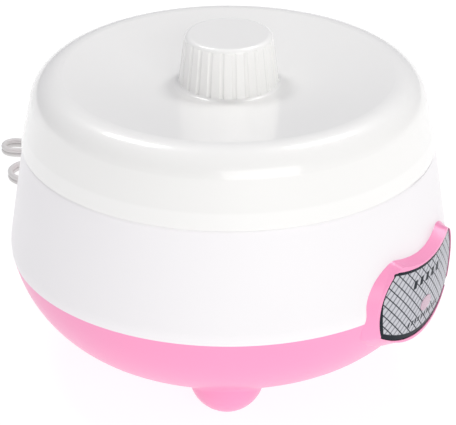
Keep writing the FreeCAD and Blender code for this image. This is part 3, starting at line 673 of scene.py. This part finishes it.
BRASS = WorkedMetal("plated_brass", (0.80, 0.74, 0.60), (0.66, 0.58, 0.42), 0.24, Lay.TUMBLED)
CERAMIC = FleckedSheet("heater_film", (0.62, 0.38, 0.12), (0.70, 0.48, 0.20), 0.3)
MICA = FleckedSheet("mica_sheet", (0.48, 0.43, 0.32), (0.62, 0.58, 0.46), 0.4)
PAPER = FleckedSheet("tie_paper", (0.86, 0.86, 0.84), (0.74, 0.74, 0.72), 0.7, 900.0)
SILICONE = SoftSkin("soft_silicone", (0.80, 0.80, 0.77), (0.74, 0.74, 0.71), 0.55)
CORD_SKIN = SoftSkin("cord_skin", (0.74, 0.725, 0.715), (0.68, 0.665, 0.655), 0.42)
LIVE_SKIN = SoftSkin("live_wire_skin", (0.16, 0.06, 0.025), (0.12, 0.045, 0.02), 0.4)
NEUTRAL_SKIN = SoftSkin("neutral_wire_skin", (0.03, 0.09, 0.36), (0.025, 0.07, 0.28), 0.4)
LAMP_SKIN = SoftSkin("lamp_wire_skin", (0.75, 0.73, 0.68), (0.66, 0.64, 0.60), 0.4)
LABEL = LabelPrint()


# ------------------------------------------------------------------ sub-assemblies


@dataclass
class Assembly:
    """A group of the model's nodes and the finish that each of them takes."""

    name: str = "assembly"
    finishes: dict[str, Finish] = field(default_factory=dict)

    def dress(self, done: dict[str, bpy.types.Material]) -> None:
        """Gives each node its finish.

        Args:
            done: finishes already built, by name, which this call adds to.
        """
        for node, finish in self.finishes.items():
            if finish.name not in done:
                done[finish.name] = finish.material()
            body = NODES[node]
            body.data.materials.clear()
            body.data.materials.append(done[finish.name])
            LOG.info("%s: %s in %s", self.name, node, finish.name)


@dataclass
class Housing(Assembly):
    """Pink base with its feet and panel, white body, label and window."""

    name: str = "housing"
    finishes: dict[str, Finish] = field(default_factory=lambda: {
        "base_shell": PINK, "body_shell": WHITE, "label_plate": LABEL,
        "indicator_lens": WINDOW, "base_screws": ZINC,
    })


@dataclass
class Heater(Assembly):
    """Heating plate, its seal and the element clamped under it."""

    name: str = "heater"
    finishes: dict[str, Finish] = field(default_factory=lambda: {
        "heating_plate": PLATE, "plate_seal": SILICONE, "plate_screws": ZINC, "ptc_heater": CERAMIC,
        "heater_insulator": MICA, "heater_clamp": SPRING, "clamp_screws": ZINC,
    })


@dataclass
class Wiring(Assembly):
    """Fuse, lamp, wires and the cord's end inside the housing."""

    name: str = "wiring"
    finishes: dict[str, Finish] = field(default_factory=lambda: {
        "thermal_fuse": PLATE, "fuse_saddle": SPRING, "indicator_lamp": LAMP, "lamp_holder": NYLON,
        "lamp_resistor": LACQUER, "lamp_wires": LAMP_SKIN, "live_wires": LIVE_SKIN,
        "neutral_wire": NEUTRAL_SKIN, "wire_caps": NYLON, "cord_tail": CORD_SKIN,
        "cord_clamp": NYLON, "cord_clamp_screws": ZINC, "strain_relief": CORD_SKIN,
    })


@dataclass
class Vessel(Assembly):
    """Steel inner bowl with its press-on lid and seal."""

    name: str = "vessel"
    finishes: dict[str, Finish] = field(default_factory=lambda: {
        "inner_bowl": STEEL, "inner_lid": INNER_FROST, "inner_lid_seal": SILICONE,
    })


@dataclass
class Cover(Assembly):
    """Frosted outer cover with its fluted knob."""

    name: str = "cover"
    finishes: dict[str, Finish] = field(default_factory=lambda: {"outer_cover": FROST})


@dataclass
class MainsCord(Assembly):
    """Flat twin cord: out of the housing, down to the table, folded in a tied hank, to its plug.

    Lengths are in metres. The route's points are the control points of one smooth spline.
    """

    name: str = "mains_cord"
    finishes: dict[str, Finish] = field(default_factory=lambda: {
        "cord_tie": PAPER, "plug_body": CORD_SKIN, "plug_pins": BRASS,
    })
    leaves_at: Point = (0.0, 0.1035, 0.027)
    width: float = 0.0052
    core_radius: float = 0.00145
    core_apart: float = 0.0023
    lobe_steps: int = 11
    least_step: float = 0.0001
    steps_per_span: int = 10
    route: Sequence[Point] = (
        (0.0, 0.1035, 0.027), (0.0, 0.1115, 0.027), (0.0032, 0.1205, 0.0246), (0.0105, 0.128, 0.0185),
        (0.022, 0.1336, 0.0104), (0.0365, 0.1384, 0.0046), (0.0525, 0.1426, 0.0027),
        (0.07, 0.1458, 0.0027), (0.088, 0.1474, 0.0027), (0.1065, 0.1475, 0.0027),
        (0.1209, 0.1489, 0.0027), (0.1287, 0.1396, 0.0027), (0.1312, 0.1178, 0.0027),
        (0.136, 0.0971, 0.0027), (0.1379, 0.0893, 0.0027), (0.145, 0.0862, 0.0027),
        (0.1522, 0.0891, 0.0027), (0.1553, 0.0962, 0.0027), (0.1512, 0.1031, 0.0027),
        (0.1404, 0.1209, 0.0027), (0.1317, 0.1402, 0.0027), (0.1246, 0.1522, 0.0027),
        (0.1073, 0.1618, 0.0027), (0.0896, 0.1721, 0.0027), (0.0826, 0.1761, 0.0027),
        (0.0832, 0.1852, 0.0027), (0.09, 0.1913, 0.0027), (0.0991, 0.1908, 0.0027),
        (0.1036, 0.1842, 0.0027), (0.1158, 0.1668, 0.0027), (0.1272, 0.1538, 0.0027),
        (0.1344, 0.1418, 0.0027), (0.1474, 0.1251, 0.0027), (0.1573, 0.1075, 0.0027),
        (0.1612, 0.1005, 0.0027), (0.1678, 0.0996, 0.0027), (0.173, 0.1036, 0.0027),
        (0.174, 0.1102, 0.0027), (0.1683, 0.1158, 0.0027), (0.1546, 0.1294, 0.0027),
        (0.137, 0.1434, 0.0027), (0.1299, 0.1554, 0.0027), (0.1215, 0.1772, 0.0027),
        (0.112, 0.1986, 0.0027), (0.1088, 0.2059, 0.0027), (0.111, 0.2108, 0.0027),
        (0.116, 0.2127, 0.0027), (0.1209, 0.2105, 0.0027), (0.123, 0.2028, 0.0027),
        (0.1288, 0.1815, 0.0027), (0.1325, 0.157, 0.0027), (0.1394, 0.1459, 0.0027),
        (0.1532, 0.1356, 0.0027), (0.1675, 0.1301, 0.0044), (0.1755, 0.1244, 0.0063),
        (0.181, 0.1172, 0.0065),
    )

    def line(self) -> list[Vector]:
        """The points of the smooth spline through the route, read back as a mesh.

        Returns:
            Points in order from the housing to the plug.
        """
        curve = bpy.data.curves.new("cord_line", "CURVE")
        curve.dimensions = "3D"
        spline = curve.splines.new("NURBS")
        spline.points.add(len(self.route) - 1)
        for point, place in zip(spline.points, self.route):
            point.co = (*place, 1.0)
        spline.order_u = 3
        spline.use_endpoint_u = True
        spline.resolution_u = self.steps_per_span
        guide = bpy.data.objects.new("cord_line", curve)
        mesh = bpy.data.meshes.new_from_object(guide)
        points = [mesh.vertices[0].co.copy()]
        for vertex in mesh.vertices[1:]:
            if (vertex.co - points[-1]).length > self.least_step:
                points.append(vertex.co.copy())
        bpy.data.objects.remove(guide)
        bpy.data.meshes.remove(mesh)
        return points

    def section(self) -> list[tuple[float, float]]:
        """Outline of the twin cord: two round cores side by side with a groove between them.

        Returns:
            (through, along) pairs, through the thin way and along the wide way.
        """
        half = self.core_apart / 2
        start = -math.asin(half / self.core_radius)
        sweep = math.pi - 2 * start
        outline = []
        for sign in (1.0, -1.0):
            for i in range(self.lobe_steps):
                a = start + sweep * i / (self.lobe_steps - 1)
                through = self.core_radius * math.cos(a)
                along = half + self.core_radius * math.sin(a)
                outline.append((through * sign, along * sign))
        return outline

    def build(self) -> bpy.types.Object:
        """Sweeps the section along the spline, its wide way upright.

        Returns:
            The cord.
        """
        path = self.line()
        section = self.section()
        mesh = bmesh.new()
        rings = []
        for i, place in enumerate(path):
            ahead = path[min(i + 1, len(path) - 1)] - path[max(i - 1, 0)]
            ahead.normalize()
            wide = Vector((0, 0, 1)) - ahead * ahead.z
            wide.normalize()
            thin = wide.cross(ahead)
            rings.append([mesh.verts.new(place + thin * u + wide * w) for u, w in section])
        for near, far in zip(rings, rings[1:]):
            for i in range(len(section)):
                j = (i + 1) % len(section)
                mesh.faces.new((near[i], near[j], far[j], far[i])).smooth = True
        mesh.faces.new(rings[0][::-1])
        mesh.faces.new(rings[-1])
        bmesh.ops.recalc_face_normals(mesh, faces=mesh.faces)
        data = bpy.data.meshes.new("mains_cord")
        mesh.to_mesh(data)
        mesh.free()
        cord = bpy.data.objects.new("mains_cord", data)
        bpy.context.scene.collection.objects.link(cord)
        data.materials.append(bpy.data.materials[CORD_SKIN.name])
        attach(cord, "base")
        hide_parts("cord_lead", "cord_hank")
        return cord


# ------------------------------------------------------------------ studio


@dataclass
class Softbox:
    """One soft area light."""

    name: str
    place: Point
    aim: Point
    size: tuple[float, float]
    power: float

    def build(self) -> None:
        """Hangs the light."""
        light = bpy.data.lights.new(self.name, "AREA")
        light.shape = "RECTANGLE"
        light.size, light.size_y = self.size
        light.energy = self.power
        lamp = bpy.data.objects.new(self.name, light)
        lamp.location = self.place
        lamp.rotation_euler = aimed(self.place, self.aim)
        bpy.context.scene.collection.objects.link(lamp)


@dataclass
class Studio:
    """Pale floor, a surround that is brightest in front, and softboxes.

    Lengths are in metres and softbox powers in watts.
    """

    floor_size: float = 40.0
    floor_tones: tuple[Colour, Colour] = ((0.24, 0.24, 0.24), (0.26, 0.26, 0.26))
    floor_glow: float = 0.84
    floor_scale: float = 3.0
    floor_rough: float = 0.9
    dim: float = 0.30
    bright: float = 0.70
    bright_side: Point = (-0.40, -0.87, 0.30)
    dim_colour: Colour = (0.90, 0.90, 1.0)
    bright_colour: Colour = (1.0, 0.99, 0.985)
    boxes: Sequence[Softbox] = (
        Softbox("left_softbox", (0.13, 0.66, 1.3), (0.0, 0.0, 0.13), (0.26, 0.42), 4.5),
        Softbox("right_softbox", (0.64, -0.20, 1.3), (0.0, 0.0, 0.13), (0.26, 0.42), 4.5),
        Softbox("front_softbox", (-1.10, -1.25, 0.65), (0.0, 0.0, 0.06), (1.3, 0.9), 8.6),
    )

    def build(self) -> None:
        """Lays the floor, sets the surround and hangs the lights."""
        made, bench, shader = start_material("studio_floor")
        shade = bench.noise(bench.place(), self.floor_scale, 1.0)
        bench.plug(bench.mixed(shade, *self.floor_tones), shader.inputs["Base Color"])
        shader.inputs["Roughness"].default_value = self.floor_rough
        shader.inputs["Emission Color"].default_value = (1, 1, 1, 1)
        shader.inputs["Emission Strength"].default_value = self.floor_glow
        mesh = bpy.data.meshes.new("studio_floor")
        half = self.floor_size / 2
        corners = [(-half, -half, 0), (half, -half, 0), (half, half, 0), (-half, half, 0)]
        mesh.from_pydata(corners, [], [(0, 1, 2, 3)])
        mesh.materials.append(made)
        floor = bpy.data.objects.new("studio_floor", mesh)
        bpy.context.scene.collection.objects.link(floor)
        world = bpy.data.worlds.new("surround")
        bpy.context.scene.world = world
        world.use_nodes = True
        self.shade_surround(world)
        for box in self.boxes:
            box.build()
        bpy.context.scene.view_settings.view_transform = "Standard"
        LOG.info("studio: floor %.1f m, %d softboxes", self.floor_size, len(self.boxes))

    def shade_surround(self, world: bpy.types.World) -> None:
        """Makes the surround brighter in front of the object and dimmer behind it.

        Args:
            world: the scene's world.
        """
        bench = NodeBench(world.node_tree)
        background = world.node_tree.nodes["Background"]
        facing = bench.add("ShaderNodeVectorMath", operation="DOT_PRODUCT")
        bench.plug(bench.place("Generated"), facing.inputs[0])
        facing.inputs[1].default_value = Vector(self.bright_side).normalized()
        wall = bench.sum("MULTIPLY_ADD", facing.outputs["Value"], 0.5, 0.5)
        bench.plug(bench.between(wall, self.dim, self.bright), background.inputs["Strength"])
        bench.plug(bench.mixed(wall, self.dim_colour, self.bright_colour), background.inputs["Color"])


@dataclass
class Viewpoint:
    """The camera, set by where it stands and the point it looks at."""

    place: Point = (-0.8105, -0.4832, 0.5472)
    look_at: Point = (0.0, 0.0004, 0.0666)
    lens: float = 181.97
    sensor: float = 36.0
    clip: tuple[float, float] = (0.05, 20.0)

    def build(self) -> None:
        """Sets the camera up as the scene's own."""
        camera = bpy.data.cameras.new("viewpoint")
        camera.lens = self.lens
        camera.sensor_width = self.sensor
        camera.clip_start, camera.clip_end = self.clip
        stand = bpy.data.objects.new("viewpoint", camera)
        stand.location = self.place
        stand.rotation_euler = aimed(self.place, self.look_at)
        bpy.context.scene.collection.objects.link(stand)
        bpy.context.scene.camera = stand


def main() -> None:
    """Builds the viewpoint, every sub-assembly and the studio, in order."""
    Viewpoint().build()
    finished: dict[str, bpy.types.Material] = {}
    for group in (Housing(), Heater(), Wiring(), Vessel(), Cover()):
        group.dress(finished)
    cord = MainsCord()
    cord.dress(finished)
    cord.build()
    Studio().build()


if __name__ == "__main__":
    main()
